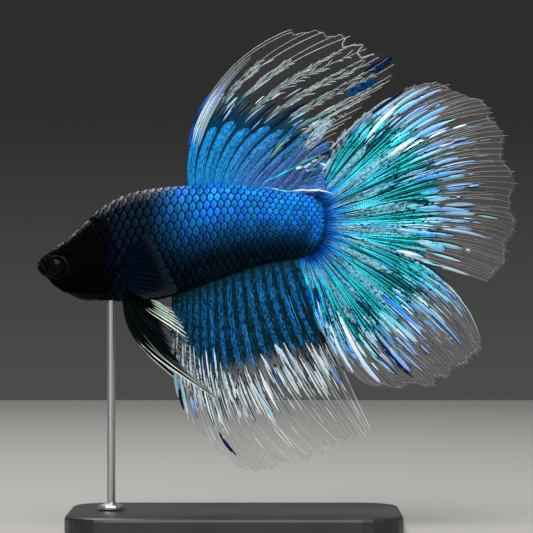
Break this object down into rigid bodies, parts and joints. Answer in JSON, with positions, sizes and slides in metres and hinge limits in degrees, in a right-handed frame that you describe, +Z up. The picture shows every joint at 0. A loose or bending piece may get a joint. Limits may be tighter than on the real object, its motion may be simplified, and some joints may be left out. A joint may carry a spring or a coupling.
{
  "type": "betta fish",
  "caption": "Long-finned betta (Siamese fighting fish) swimming with its fins spread, as a still life-size model held over a flat base by a slim rod.",
  "frame": {"origin": "middle of the underside of the stand's base", "axes": "-X to the snout, +X to the tail; +Z up, to the dorsal fin; -Y to the fish's left side, +Y to its right side"},
  "size_m": [0.0812, 0.034, 0.0845],
  "materials": {
    "head_skin": "near-black skin, moist sheen",
    "scales": "iridescent royal-blue scales",
    "fin_web": "turquoise fin web that clears towards its edge",
    "dark_fin": "dark smoky fin web with pale rays",
    "eye": "wet and glossy",
    "stand_base": "satin black",
    "stand_rod": "satin"
  },
  "bodies": {
    "root": {"head": "head_skin", "lower_jaw": "head_skin", "gill_cover_left": "head_skin", "gill_cover_right": "head_skin", "eye_left": "eye", "eye_right": "eye", "trunk": "scales", "tail_stalk": "scales", "dorsal_fin": "fin_web", "tail_fin_upper": "fin_web", "tail_fin_lower": "fin_web", "anal_fin": "fin_web", "pelvic_fin_left": "dark_fin", "pelvic_fin_right": "dark_fin", "pectoral_fin_left": "dark_fin", "pectoral_fin_right": "dark_fin", "stand_base": "stand_base", "stand_rod": "stand_rod"}
  },
  "joints": []
}
